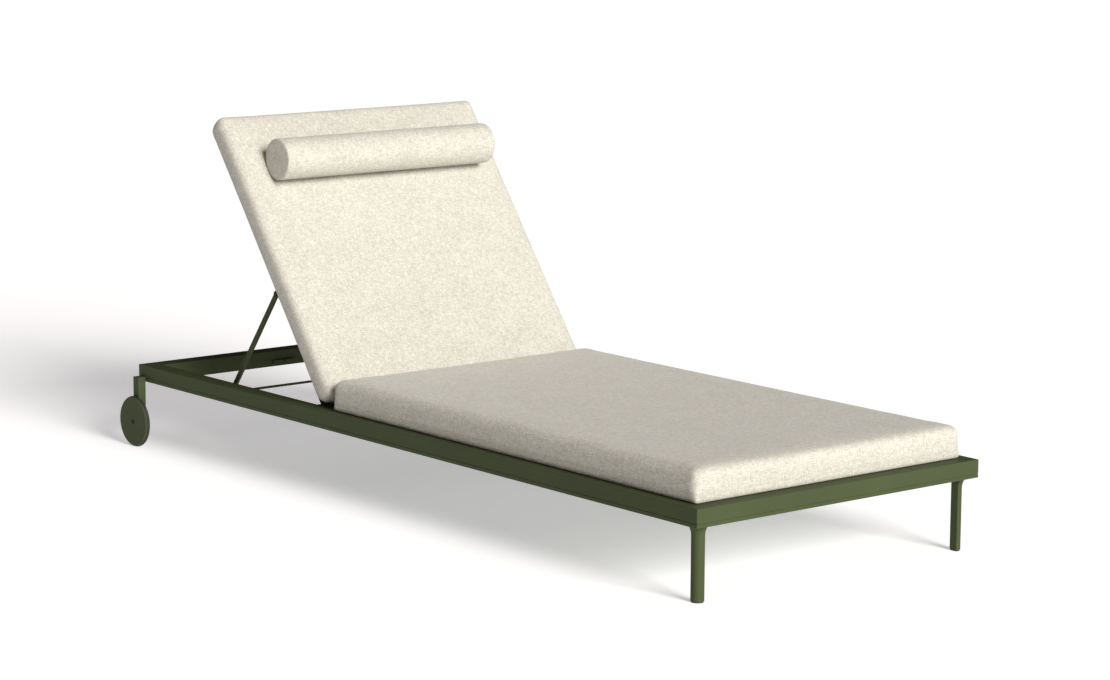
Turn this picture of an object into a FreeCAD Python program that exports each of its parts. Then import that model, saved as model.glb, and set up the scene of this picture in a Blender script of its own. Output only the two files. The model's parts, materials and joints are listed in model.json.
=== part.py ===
"""Reclining sun lounger: a low tube frame on two legs and two wheels, a hinged slatted back
held by a swinging prop, two loose cushions and a round head bolster.

Row frame, in millimetres: +X to the foot end, +Y to the left of somebody lying on the lounger,
+Z up. The origin is on the floor, under the middle of the lounger's box.
"""
import FreeCAD, Part
import os
import Sketcher

Vector = FreeCAD.Vector
Rotation = FreeCAD.Rotation

DIMENSIONS = [
    # frame rails
    ("frame_length", 2080), ("frame_width", 800), ("rail_top", 200), ("rail_tall", 40),
    ("rail_width", 43), ("rail_wall", 2.5), ("rail_round", 1.5),
    ("groove_rise", 8), ("groove_tall", 1.6), ("groove_depth", 1),
    ("key_arm", 75), ("key_tall", 22), ("key_gap", 0.4), ("key_thick", 16),
    # front legs
    ("leg_side", 20), ("leg_inset", 20), ("leg_round", 13), ("flare_tall", 24),
    ("flare_reach", 14), ("glide_thick", 3), ("glide_inset", 1), ("leg_bolt_radius", 4),
    ("leg_bolt_long", 46), ("bolt_head_radius", 6.5), ("bolt_head_tall", 6),
    # wheels and their posts
    ("wheel_radius", 62.5), ("wheel_thick", 11), ("axle_setback", 20), ("axle_radius", 4),
    ("axle_head_radius", 5.5), ("axle_head_thick", 2.5), ("axle_recess", 3),
    ("axle_recess_radius", 6), ("running_gap", 0.05), ("bush_wall", 2.5), ("bush_flange", 2),
    ("disc_lip", 4), ("disc_radius", 60.8), ("disc_chamfer", 1.6), ("rim_radius", 52),
    ("tyre_round", 1.5), ("post_start", 5), ("post_long", 24), ("post_thick", 20),
    ("post_overlap", 12), ("post_base", 46), ("post_round", 3), ("spacer_thick", 1.2),
    ("spacer_radius", 8), ("side_gap", 0.3), ("flange_reach", 3), ("rim_inset", 2),
    ("socket_radius", 2.5), ("socket_floor", 0.8), ("post_screw_radius", 2.5),
    ("post_screw_long", 15), ("post_screw_rise", 7), ("cap_radius", 4), ("cap_thick", 3),
    # seat deck
    ("deck_start", 770), ("slat_width", 95), ("slat_thick", 16), ("slat_wall", 2),
    ("slat_end_gap", 0.5), ("slat_round", 1.2), ("ledge_width", 20), ("ledge_thick", 10),
    ("cross_start", 728), ("cross_wide", 36), ("cross_tall", 31), ("cross_rise", 1),
    ("slat_screw_radius", 2), ("slat_screw_start", 2),
    # back hinge
    ("hinge_setback", 713), ("hinge_height", 170), ("recline_angle", 53.2), ("pin_radius", 5),
    ("lug_radius", 12), ("lug_long", 78), ("lug_thick", 6), ("lug_face", 328.3),
    ("lug_drop", 4), ("prop_eye_radius", 8),
    ("bracket_long", 36), ("bracket_tall", 35), ("bracket_thick", 20), ("bracket_reach", 14),
    ("bracket_rise", 1), ("hinge_bush_wall", 2), ("pin_inset", 5), ("pin_cover", 4),
    ("clip_reach", 2.5), ("clip_thick", 2),
    # back frame, measured from the hinge axis along the back and square to it
    ("stile_start", 20), ("stile_end", 667), ("stile_low", 6), ("tube_size", 20),
    ("tube_wall", 2), ("stile_face", 328), ("back_slat_width", 96), ("back_slat_thick", 4),
    # prop and its racks
    ("prop_reach", 328), ("arm_width", 12), ("arm_thick", 6), ("arm_gap", 0.4),
    ("eye_margin", 2), ("prop_pin_radius", 4), ("pin_head_reach", 2.5), ("pin_head_thick", 1.5),
    ("rod_radius", 3), ("rod_end_gap", 4), ("rack_thick", 14), ("rack_start", 138),
    ("rack_long", 262), ("rack_base", 161), ("tooth_gap", 0.7), ("notch_pitch", 52),
    ("notch_radius", 3.4), ("screw_radius", 1.5), ("screw_head_radius", 2.4),
    ("screw_head_thick", 1.5), ("rack_screw_near", 13), ("rack_screw_far", 208),
    ("rack_screw_rise", 4), ("bracket_screw_back", 15), ("bracket_screw_rise", 28),
    ("pad_thick", 7.5), ("pad_wide", 30), ("pad_tall", 8), ("pad_start", 2),
    # cushions and bolster
    ("cushion_thick", 74.7), ("cushion_width", 754), ("cushion_gap", 0.3), ("cushion_round", 18),
    ("seat_start", 795), ("seat_long", 1255), ("back_start", 10), ("back_long", 755),
    ("back_heel_round", 30), ("bolster_radius", 49), ("bolster_long", 614),
    ("bolster_reach", 602), ("bolster_round", 6),
]

SEAT_SLATS = 7
BACK_SLATS = 4
NOTCHES = 5
RIGHT = -1
LEFT = 1
SIDE_NAMES = {RIGHT: "right", LEFT: "left"}

doc = FreeCAD.newDocument("sun_lounger")
sheet = doc.addObject("Spreadsheet::Sheet", "Sheet")
for row, (alias, value) in enumerate(DIMENSIONS, start=1):
    sheet.set(f"A{row}", alias.replace("_", " "))
    sheet.set(f"B{row}", str(value))
    sheet.setAlias(f"B{row}", alias)
doc.recompute()

# Places that follow from the driving dimensions, as expressions.
HEAD_X = "(Sheet.wheel_radius - Sheet.axle_setback - Sheet.frame_length) / 2"
FOOT_X = "(Sheet.wheel_radius - Sheet.axle_setback + Sheet.frame_length) / 2"
SIDE_Y = "Sheet.frame_width / 2"
INNER_Y = "(Sheet.frame_width / 2 - Sheet.rail_width)"
RAIL_BASE = "(Sheet.rail_top - Sheet.rail_tall)"
HINGE_X = f"({HEAD_X} + Sheet.hinge_setback)"
HINGE_Z = "Sheet.hinge_height"
AXLE_X = f"({HEAD_X} + Sheet.axle_setback)"
BACK_TOP = "(Sheet.stile_low + Sheet.tube_size + Sheet.back_slat_thick)"
ARM_FACE = "(Sheet.lug_face + Sheet.lug_thick + Sheet.arm_gap)"
DECK_TOP = "Sheet.rail_top"

parts = []


def value(name):
    """A driving dimension, as a number."""
    return float(sheet.get(name))


def keep(thing, label):
    """Name a finished sub-part and put it on the list of nodes."""
    thing.Label = label
    parts.append(thing)
    return thing


def bind(thing, **expressions):
    """Bind properties of an object to expressions of the sheet."""
    for name, expression in expressions.items():
        thing.setExpression(name, str(expression))


def place(thing, x=0, y=0, z=0, axis=None, angle=0):
    """Put an object at a place given by expressions, turned about one axis."""
    if axis is not None:
        thing.Placement.Rotation = Rotation(Vector(*axis), angle)
    for name, expression in (("x", x), ("y", y), ("z", z)):
        thing.setExpression(f"Placement.Base.{name}", str(expression))


def place_on_back(thing, x=0, y=0, z=0, turn=True):
    """Put an object on the reclined back.

    x and z are measured from the hinge axis on the back laid flat: x is negative towards the
    head end and z is square to the back. A thing along Y needs no turn with the back.
    """
    angle = "Sheet.recline_angle"
    if turn:
        thing.Placement.Rotation = Rotation(Vector(0, 1, 0), value("recline_angle"))
        thing.setExpression("Placement.Rotation.Angle", angle)
    bind(thing, **{
        "Placement.Base.x": f"{HINGE_X} + ({x}) * cos({angle}) + ({z}) * sin({angle})",
        "Placement.Base.y": y,
        "Placement.Base.z": f"{HINGE_Z} - ({x}) * sin({angle}) + ({z}) * cos({angle})",
    })


def box(name, length, width, height):
    thing = doc.addObject("Part::Box", name)
    bind(thing, Length=length, Width=width, Height=height)
    return thing


def rod(name, radius, height):
    """A cylinder along Y, starting at its own place."""
    thing = doc.addObject("Part::Cylinder", name)
    bind(thing, Radius=radius, Height=height)
    thing.Placement.Rotation = Rotation(Vector(1, 0, 0), -90)
    return thing


def post(name, radius, height):
    """A cylinder along Z."""
    thing = doc.addObject("Part::Cylinder", name)
    bind(thing, Radius=radius, Height=height)
    return thing


def fuse(name, shapes):
    thing = doc.addObject("Part::MultiFuse", name)
    thing.Shapes = shapes
    return thing


def cut(name, base, tools):
    """Cut one or more tools out of a base."""
    thing = doc.addObject("Part::Cut", name)
    thing.Base = base
    thing.Tool = tools[0] if len(tools) == 1 else fuse(f"{name}_tools", tools)
    return thing


def group(name, members):
    """Separate solids of one kind that share a node."""
    thing = doc.addObject("Part::Compound", name)
    thing.Links = members
    return keep(thing, name)


def low_y(side, face, thickness):
    """The lowest y of a slab whose inboard face is at face on one side of the lounger."""
    if side == LEFT:
        return f"{face}"
    return f"-({face}) - ({thickness})"


def new_body(name):
    return doc.addObject("PartDesign::Body", name)


def new_sketch(body, name, role, offset=None):
    """A sketch on one of the body's own origin planes, lifted by an expression if given."""
    sketch = body.newObject("Sketcher::SketchObject", name)
    plane = next(item for item in body.Origin.OriginFeatures if item.Role == role)
    sketch.AttachmentSupport = (plane, [""])
    sketch.MapMode = "FlatFace"
    if offset is not None:
        sketch.setExpression("AttachmentOffset.Base.z", str(offset))
    return sketch


def dimension(sketch, kind, references, expression, drawn=1.0):
    """Add a driving constraint, as drawn at first, and bind its value to an expression."""
    index = sketch.addConstraint(Sketcher.Constraint(kind, *references, drawn))
    sketch.setExpression(f"Constraints[{index}]", str(expression))


def rectangle(sketch, left, low, width, height):
    """A rectangle whose lower left corner and sides are expressions."""
    corners = [Vector(0, 0, 0), Vector(10, 0, 0), Vector(10, 10, 0), Vector(0, 10, 0)]
    first = sketch.GeometryCount
    for number in range(4):
        sketch.addGeometry(Part.LineSegment(corners[number], corners[(number + 1) % 4]))
    for number in range(4):
        after = first + (number + 1) % 4
        sketch.addConstraint(Sketcher.Constraint("Coincident", first + number, 2, after, 1))
    for number, kind in enumerate(("Horizontal", "Vertical", "Horizontal", "Vertical")):
        sketch.addConstraint(Sketcher.Constraint(kind, first + number))
    dimension(sketch, "DistanceX", (first, 1, first, 2), width)
    dimension(sketch, "DistanceY", (first + 1, 1, first + 1, 2), height)
    dimension(sketch, "DistanceX", (-1, 1, first, 1), left)
    dimension(sketch, "DistanceY", (-1, 1, first, 1), low)


def closed_outline(sketch, points, bindings):
    """A closed polygon. Each binding is (corner, x or None, y or None) in expressions."""
    count = len(points)
    for number in range(count):
        start = Vector(*points[number], 0)
        end = Vector(*points[(number + 1) % count], 0)
        sketch.addGeometry(Part.LineSegment(start, end))
    for number in range(count):
        sketch.addConstraint(Sketcher.Constraint("Coincident", number, 2, (number + 1) % count, 1))
    for corner, x, y in bindings:
        dimension(sketch, "DistanceX", (-1, 1, corner, 1), x)
        dimension(sketch, "DistanceY", (-1, 1, corner, 1), y)


def pad(body, sketch, name, length, symmetric=False):
    feature = body.newObject("PartDesign::Pad", name)
    feature.Profile = sketch
    if symmetric:
        feature.SideType = "Symmetric"
    feature.setExpression("Length", str(length))
    return feature


def pocket_through(body, sketch, name):
    """A pocket through everything, both ways from its sketch."""
    feature = body.newObject("PartDesign::Pocket", name)
    feature.Profile = sketch
    feature.SideType = "Symmetric"
    feature.Type = "ThroughAll"
    return feature


def edges_where(shape, test):
    """Names of the edges whose middle point and direction pass a test."""
    names = []
    for number, edge in enumerate(shape.Edges, start=1):
        middle = edge.valueAt((edge.FirstParameter + edge.LastParameter) / 2)
        direction = edge.tangentAt((edge.FirstParameter + edge.LastParameter) / 2)
        if test(middle, direction):
            names.append(f"Edge{number}")
    return names


def dress(body, base, name, radius, test):
    """Fillet the edges of a body's feature that pass a test."""
    doc.recompute()
    feature = body.newObject("PartDesign::Fillet", name)
    feature.Base = (base, edges_where(base.Shape, test))
    feature.setExpression("Radius", str(radius))
    return feature


def soften(name, base, radius, test, kind="Part::Fillet"):
    """Fillet or chamfer the edges of a primitive or boolean that pass a test."""
    doc.recompute()
    feature = doc.addObject(kind, name)
    feature.Base = base
    chosen = edges_where(base.Shape, test)
    feature.Edges = [(int(edge[4:]), radius, radius) for edge in chosen]
    return feature


# ---- frame rails ---------------------------------------------------------------------------

def make_rail(label, length, x, y, angle):
    """A mitred rectangular tube along X, its outer face towards -Y before it is turned."""
    body = new_body(label)
    section = new_sketch(body, f"{label}_section", "YZ_Plane")
    rectangle(section, 0, 0, "Sheet.rail_width", "Sheet.rail_tall")
    solid = pad(body, section, f"{label}_pad", length, symmetric=True)
    dress(body, solid, f"{label}_edges", "Sheet.rail_round",
          lambda middle, direction: abs(direction.x) > 0.9)
    bore = new_sketch(body, f"{label}_bore_section", "YZ_Plane")
    rectangle(bore, "Sheet.rail_wall", "Sheet.rail_wall",
              "Sheet.rail_width - 2 * Sheet.rail_wall", "Sheet.rail_tall - 2 * Sheet.rail_wall")
    pocket_through(body, bore, f"{label}_bore")
    groove = new_sketch(body, f"{label}_groove_section", "YZ_Plane")
    rectangle(groove, "-Sheet.groove_depth", "Sheet.groove_rise",
              "2 * Sheet.groove_depth", "Sheet.groove_tall")
    pocket_through(body, groove, f"{label}_groove")
    half = f"({length}) / 2"
    mitre = new_sketch(body, f"{label}_mitre_lines", "XY_Plane")
    closed_outline(
        mitre, [(-20, 0), (-10, 10), (-30, 10)],
        [(0, f"-{half}", 0), (1, f"-{half} + 2 * Sheet.rail_width", "2 * Sheet.rail_width"),
         (2, f"-{half} - Sheet.rail_width", "2 * Sheet.rail_width")])
    pocket_through(body, mitre, f"{label}_mitre_head")
    mirrored = new_sketch(body, f"{label}_mitre_lines_b", "XY_Plane")
    closed_outline(
        mirrored, [(20, 0), (30, 10), (10, 10)],
        [(0, half, 0), (1, f"{half} + Sheet.rail_width", "2 * Sheet.rail_width"),
         (2, f"{half} - 2 * Sheet.rail_width", "2 * Sheet.rail_width")])
    pocket_through(body, mirrored, f"{label}_mitre_foot")
    place(body, x, y, RAIL_BASE, (0, 0, 1), angle)
    return keep(body, label)


def make_rails():
    middle = f"(({HEAD_X}) + ({FOOT_X})) / 2"
    make_rail("side_rail_right", "Sheet.frame_length", middle, f"-{SIDE_Y}", 0)
    make_rail("side_rail_left", "Sheet.frame_length", middle, SIDE_Y, 180)
    make_rail("foot_rail", "Sheet.frame_width", FOOT_X, 0, 90)
    make_rail("head_rail", "Sheet.frame_width", HEAD_X, 0, -90)


def make_corner_keys():
    """An L of cast metal inside each mitred corner."""
    keys = []
    lift = f"{RAIL_BASE} + Sheet.rail_wall + Sheet.key_gap"
    start = "(Sheet.rail_wall + Sheet.key_gap)"
    for side in (RIGHT, LEFT):
        for end, sign in (("head", 1), ("foot", -1)):
            name = f"key_{end}_{SIDE_NAMES[side]}"
            along = box(f"{name}_along", "Sheet.key_arm", "Sheet.key_thick", "Sheet.key_tall")
            across = box(f"{name}_across", "Sheet.key_thick", "Sheet.key_arm", "Sheet.key_tall")
            outer_x = f"({HEAD_X}) + {start}" if sign > 0 else f"({FOOT_X}) - {start}"
            for thing, reach in ((along, "Sheet.key_arm"), (across, "Sheet.key_thick")):
                width = "Sheet.key_thick" if thing is along else "Sheet.key_arm"
                x = outer_x if sign > 0 else f"{outer_x} - {reach}"
                y = (f"{SIDE_Y} - {start} - {width}" if side == LEFT
                     else f"-{SIDE_Y} + {start}")
                place(thing, x, y, lift)
            keys.append(fuse(name, [along, across]))
    group("corner_keys", keys)


# ---- front legs ----------------------------------------------------------------------------

def corner_section(sketch, side, radius):
    """A square with its far corner rounded: the plan section of a front leg."""
    points = [(0, 0), (20, 0), (20, 10), (10, 20), (0, 20)]
    sketch.addGeometry(Part.LineSegment(Vector(*points[0], 0), Vector(*points[1], 0)))
    sketch.addGeometry(Part.LineSegment(Vector(*points[1], 0), Vector(*points[2], 0)))
    round_edge = Part.ArcOfCircle(Part.Circle(Vector(10, 10, 0), Vector(0, 0, 1), 10), 0, 1.5708)
    sketch.addGeometry(round_edge)
    sketch.addGeometry(Part.LineSegment(Vector(*points[3], 0), Vector(*points[4], 0)))
    sketch.addGeometry(Part.LineSegment(Vector(*points[4], 0), Vector(*points[0], 0)))
    sketch.addConstraint(Sketcher.Constraint("Coincident", 0, 1, -1, 1))
    sketch.addConstraint(Sketcher.Constraint("Coincident", 0, 2, 1, 1))
    sketch.addConstraint(Sketcher.Constraint("Tangent", 1, 2, 2, 1))
    sketch.addConstraint(Sketcher.Constraint("Tangent", 2, 2, 3, 1))
    sketch.addConstraint(Sketcher.Constraint("Coincident", 3, 2, 4, 1))
    sketch.addConstraint(Sketcher.Constraint("Coincident", 4, 2, 0, 1))
    for line, kind in ((0, "Horizontal"), (1, "Vertical"), (3, "Horizontal"), (4, "Vertical")):
        sketch.addConstraint(Sketcher.Constraint(kind, line))
    dimension(sketch, "DistanceX", (0, 1, 0, 2), side, 20.0)
    dimension(sketch, "DistanceY", (4, 2, 4, 1), side, 20.0)
    dimension(sketch, "Radius", (2,), radius, 10.0)


def make_front_leg(side):
    """A slim leg whose two outer faces flare out under the frame's corner."""
    label = f"front_leg_{SIDE_NAMES[side]}"
    body = new_body(label)
    shaft_top = f"({RAIL_BASE} - Sheet.flare_tall)"
    foot = new_sketch(body, f"{label}_foot_section", "XY_Plane", "Sheet.glide_thick")
    corner_section(foot, "Sheet.leg_side", "Sheet.leg_round")
    pad(body, foot, f"{label}_shaft", f"{shaft_top} - Sheet.glide_thick")
    steps = 5
    sections = []
    for step in range(steps + 1):
        share = step / steps
        rise = f"{shaft_top} + Sheet.flare_tall * {share}"
        reach = f"Sheet.flare_reach * {1 - (1 - share ** 2) ** 0.5}"
        section = new_sketch(body, f"{label}_flare_section_{step}", "XY_Plane", rise)
        corner_section(section, f"Sheet.leg_side + {reach}", f"Sheet.leg_round + {reach}")
        sections.append(section)
    flare = body.newObject("PartDesign::AdditiveLoft", f"{label}_flare")
    flare.Profile = sections[0]
    flare.Sections = sections[1:]
    inset = "(Sheet.leg_inset + Sheet.leg_side)"
    if side == LEFT:
        place(body, f"({FOOT_X}) - {inset}", f"{SIDE_Y} - {inset}", 0, (0, 0, 1), 0)
    else:
        place(body, f"({FOOT_X}) - {inset}", f"-{SIDE_Y} + {inset}", 0, (0, 0, 1), -90)
    return keep(body, label)


def make_leg_fittings():
    """The glide under each front leg and the bolt that holds the leg to its corner."""
    glides = []
    bolts = []
    inset = "(Sheet.leg_inset + Sheet.leg_side)"
    for side in (RIGHT, LEFT):
        name = SIDE_NAMES[side]
        glide = box(f"glide_{name}", "Sheet.leg_side - 2 * Sheet.glide_inset",
                    "Sheet.leg_side - 2 * Sheet.glide_inset", "Sheet.glide_thick")
        face = f"{SIDE_Y} - {inset} + Sheet.glide_inset"
        glide_y = low_y(side, face, "Sheet.leg_side - 2 * Sheet.glide_inset")
        place(glide, f"({FOOT_X}) - {inset} + Sheet.glide_inset", glide_y, 0)
        outer = value("frame_width") / 2 - value("leg_inset") - value("glide_inset")
        glides.append(soften(
            f"glide_round_{name}", glide, value("leg_round") - value("glide_inset"),
            lambda middle, direction: abs(direction.z) > 0.9
            and abs(abs(middle.y) - outer) < 1 and middle.x > glide.Placement.Base.x + 1))
        bolt = post(f"leg_bolt_{name}", "Sheet.leg_bolt_radius", "Sheet.leg_bolt_long")
        head = post(f"leg_bolt_head_{name}", "Sheet.bolt_head_radius", "Sheet.bolt_head_tall")
        bolt_x = f"({FOOT_X}) - Sheet.leg_inset - Sheet.leg_side / 2"
        bolt_y = f"{side} * ({SIDE_Y} - Sheet.leg_inset - Sheet.leg_side / 2)"
        place(bolt, bolt_x, bolt_y, f"{RAIL_BASE} + Sheet.rail_wall - Sheet.leg_bolt_long")
        place(head, bolt_x, bolt_y, f"{RAIL_BASE} + Sheet.rail_wall")
        bolts.append(fuse(f"leg_bolt_whole_{name}", [bolt, head]))
    group("foot_glides", glides)
    group("leg_bolts", bolts)


# ---- wheels --------------------------------------------------------------------------------



def make_wheel_post(side):
    """A flat post on the outer face of the side rail, which carries the wheel's axle."""
    label = f"wheel_post_{SIDE_NAMES[side]}"
    body = new_body(f"{label}_blank")
    section = new_sketch(body, f"{label}_section", "XY_Plane", "Sheet.post_base")
    rectangle(section, 0, 0 if side == LEFT else "-Sheet.post_thick", "Sheet.post_long",
              "Sheet.post_thick")
    solid = pad(body, section, f"{label}_pad",
                f"{RAIL_BASE} + Sheet.post_overlap - Sheet.post_base")
    outer = side * value("post_thick")
    long_edge = value("post_long")
    rounded = dress(body, solid, f"{label}_corner", "Sheet.post_round",
                    lambda middle, direction: abs(direction.z) > 0.9
                    and abs(middle.y - outer) < 0.1 and abs(middle.x - long_edge) < 0.1)
    dress(body, rounded, f"{label}_edges", "Sheet.rail_round",
          lambda middle, direction: middle.z > value("post_base") + 1
          and abs(direction.z) < 0.1 and abs(middle.y) > 1)
    place(body, f"{HEAD_X} + Sheet.post_start", f"{side} * {SIDE_Y}", 0)
    bore = rod(f"{label}_bore", "Sheet.axle_radius", "Sheet.post_thick")
    place(bore, AXLE_X, low_y(side, SIDE_Y, "Sheet.post_thick"), "Sheet.wheel_radius")
    return keep(cut(f"{label}_bored", body, [bore]), label)


def on_axle(name, side, radius, start, thick):
    """A cylinder on the wheel's axle line, start and thick counted outboard of the rail."""
    thing = rod(name, radius, thick)
    place(thing, AXLE_X, low_y(side, f"{SIDE_Y} + {start}", thick), "Sheet.wheel_radius")
    return thing


def make_wheel(side):
    """A thin wheel: a chamfered disc that covers a rubber tyre, on a plain flanged bush."""
    name = SIDE_NAMES[side]
    inner = "(Sheet.post_thick + Sheet.spacer_thick + Sheet.side_gap)"
    outer = f"({inner} + Sheet.wheel_thick)"
    tyre_thick = "(Sheet.wheel_thick - Sheet.disc_lip)"
    bush_radius = "(Sheet.axle_radius + Sheet.running_gap + Sheet.bush_wall)"
    bore_radius = "(Sheet.axle_radius + Sheet.running_gap)"

    face = on_axle(f"disc_face_{name}", side, "Sheet.disc_radius",
                   f"{outer} - Sheet.disc_lip", "Sheet.disc_lip")
    outer_face = value("frame_width") / 2 + value("post_thick") + value("spacer_thick")
    outer_face += value("side_gap") + value("wheel_thick")
    face = soften(f"disc_face_edge_{name}", face, value("disc_chamfer"),
                  lambda middle, direction: abs(abs(middle.y) - outer_face) < 0.1
                  and abs(direction.y) < 0.1, "Part::Chamfer")
    rim = on_axle(f"disc_rim_{name}", side, "Sheet.rim_radius", inner,
                  "Sheet.wheel_thick - Sheet.rim_inset")
    bore = on_axle(f"disc_bore_{name}", side, bush_radius, inner, "Sheet.wheel_thick")
    recess = on_axle(f"disc_recess_{name}", side, "Sheet.axle_recess_radius",
                     f"{outer} - Sheet.axle_recess", "2 * Sheet.axle_recess")
    flange_radius = f"{bush_radius} + Sheet.flange_reach"
    flange = on_axle(f"disc_flange_seat_{name}", side, flange_radius, inner, "Sheet.bush_flange")
    disc = cut(f"disc_{name}", fuse(f"disc_solid_{name}", [face, rim]), [bore, recess, flange])
    keep(disc, f"wheel_disc_{name}")

    ring = on_axle(f"tyre_ring_{name}", side, "Sheet.wheel_radius", inner, tyre_thick)
    ring = soften(f"tyre_edge_{name}", ring, value("tyre_round"),
                  lambda middle, direction: abs(direction.y) < 0.1)
    hole = on_axle(f"tyre_hole_{name}", side, "Sheet.rim_radius", inner, tyre_thick)
    keep(cut(f"tyre_{name}", ring, [hole]), f"wheel_tyre_{name}")

    sleeve = on_axle(f"bush_sleeve_{name}", side, bush_radius, inner,
                     "Sheet.wheel_thick - Sheet.axle_recess")
    collar = on_axle(f"bush_collar_{name}", side, flange_radius, inner, "Sheet.bush_flange")
    channel = on_axle(f"bush_channel_{name}", side, bore_radius, inner, "Sheet.wheel_thick")
    bush = cut(f"bush_{name}", fuse(f"bush_solid_{name}", [sleeve, collar]), [channel])
    keep(bush, f"wheel_bush_{name}")


def make_axles():
    """The shoulder bolt that each wheel turns on, with its spacer, and the post's screw."""
    bolts = []
    spacers = []
    screws = []
    outer = "(Sheet.post_thick + Sheet.spacer_thick + Sheet.side_gap + Sheet.wheel_thick)"
    head_start = f"({outer} - Sheet.axle_recess + Sheet.side_gap)"
    for side in (RIGHT, LEFT):
        name = SIDE_NAMES[side]
        shank = on_axle(f"axle_shank_{name}", side, "Sheet.axle_radius", 0, head_start)
        head = on_axle(f"axle_head_{name}", side, "Sheet.axle_head_radius", head_start,
                       "Sheet.axle_head_thick")
        socket = on_axle(f"axle_socket_{name}", side, "Sheet.socket_radius",
                         f"{head_start} + Sheet.socket_floor", "Sheet.axle_head_thick")
        solid = fuse(f"axle_solid_{name}", [shank, head])
        bolts.append(cut(f"axle_bolt_{name}", solid, [socket]))
        disc = on_axle(f"spacer_disc_{name}", side, "Sheet.spacer_radius", "Sheet.post_thick",
                       "Sheet.spacer_thick")
        hole = on_axle(f"spacer_hole_{name}", side, "Sheet.axle_radius", "Sheet.post_thick",
                       "Sheet.spacer_thick")
        spacers.append(cut(f"axle_spacer_{name}", disc, [hole]))
        screw_z = f"{RAIL_BASE} + Sheet.post_screw_rise"
        screw_x = f"{HEAD_X} + Sheet.post_start + Sheet.post_long / 2"
        inner_wall = f"({SIDE_Y} - Sheet.rail_wall)"
        screw = rod(f"post_screw_shank_{name}", "Sheet.post_screw_radius",
                    "Sheet.post_screw_long")
        cap = rod(f"post_screw_head_{name}", "Sheet.cap_radius", "Sheet.cap_thick")
        place(screw, screw_x, low_y(side, inner_wall, "Sheet.post_screw_long"), screw_z)
        place(cap, screw_x, low_y(side, f"{inner_wall} - Sheet.cap_thick", "Sheet.cap_thick"),
              screw_z)
        screws.append(fuse(f"post_screw_{name}", [screw, cap]))
    group("axle_bolts", bolts)
    group("axle_spacers", spacers)
    group("post_screws", screws)


# ---- seat deck -----------------------------------------------------------------------------

def make_slat(label, length, width, thick, wall):
    """A hollow flat bar across the lounger, in a body whose origin is its middle bottom line."""
    body = new_body(label)
    section = new_sketch(body, f"{label}_section", "XZ_Plane")
    rectangle(section, f"-({width}) / 2", 0, width, thick)
    solid = pad(body, section, f"{label}_pad", length, symmetric=True)
    dress(body, solid, f"{label}_edges", "Sheet.slat_round",
          lambda middle, direction: abs(direction.y) > 0.9)
    bore = new_sketch(body, f"{label}_bore_section", "XZ_Plane")
    rectangle(bore, f"-({width}) / 2 + {wall}", wall, f"{width} - 2 * {wall}",
              f"{thick} - 2 * {wall}")
    pocket_through(body, bore, f"{label}_bore")
    return body


def make_seat_deck():
    """Hollow slats on two ledges, between the hinge's cross rail and the foot rail."""
    inner_long = f"({FOOT_X} - Sheet.rail_width - ({HEAD_X}) - Sheet.deck_start)"
    ledge_z = f"({DECK_TOP} - Sheet.slat_thick - Sheet.ledge_thick)"
    for side in (RIGHT, LEFT):
        label = f"seat_ledge_{SIDE_NAMES[side]}"
        ledge = box(label, inner_long, "Sheet.ledge_width", "Sheet.ledge_thick")
        ledge_y = low_y(side, f"{INNER_Y} - Sheet.ledge_width", "Sheet.ledge_width")
        place(ledge, f"{HEAD_X} + Sheet.deck_start", ledge_y, ledge_z)
        keep(ledge, label)
    cross = make_slat("hinge_cross_rail", f"2 * {INNER_Y} - 2 * Sheet.slat_end_gap",
                      "Sheet.cross_wide", "Sheet.cross_tall", "Sheet.slat_wall")
    place(cross, f"{HEAD_X} + Sheet.cross_start + Sheet.cross_wide / 2", 0,
          f"{DECK_TOP} + Sheet.cross_rise - Sheet.cross_tall")
    keep(cross, "hinge_cross_rail")
    screws = []
    pitch = f"({inner_long} / {SEAT_SLATS})"
    for number in range(SEAT_SLATS):
        label = f"seat_slat_{number + 1}"
        slat = make_slat(label, f"2 * {INNER_Y} - 2 * Sheet.slat_end_gap", "Sheet.slat_width",
                         "Sheet.slat_thick", "Sheet.slat_wall")
        middle = f"{HEAD_X} + Sheet.deck_start + {pitch} * {number + 0.5}"
        place(slat, middle, 0, f"{DECK_TOP} - Sheet.slat_thick")
        keep(slat, label)
        for side in (RIGHT, LEFT):
            for edge in (-1, 1):
                name = f"slat_screw_{number}_{SIDE_NAMES[side]}_{'ab'[(edge + 1) // 2]}"
                screw = post(name, "Sheet.slat_screw_radius",
                             "Sheet.ledge_thick + Sheet.slat_wall - Sheet.slat_screw_start")
                place(screw, f"{middle} + {edge} * Sheet.slat_width / 4",
                      f"{side} * ({INNER_Y} - Sheet.ledge_width / 2)",
                      f"{ledge_z} + Sheet.slat_screw_start")
                screws.append(screw)
    group("slat_screws", screws)


# ---- back hinge ----------------------------------------------------------------------------

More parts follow.
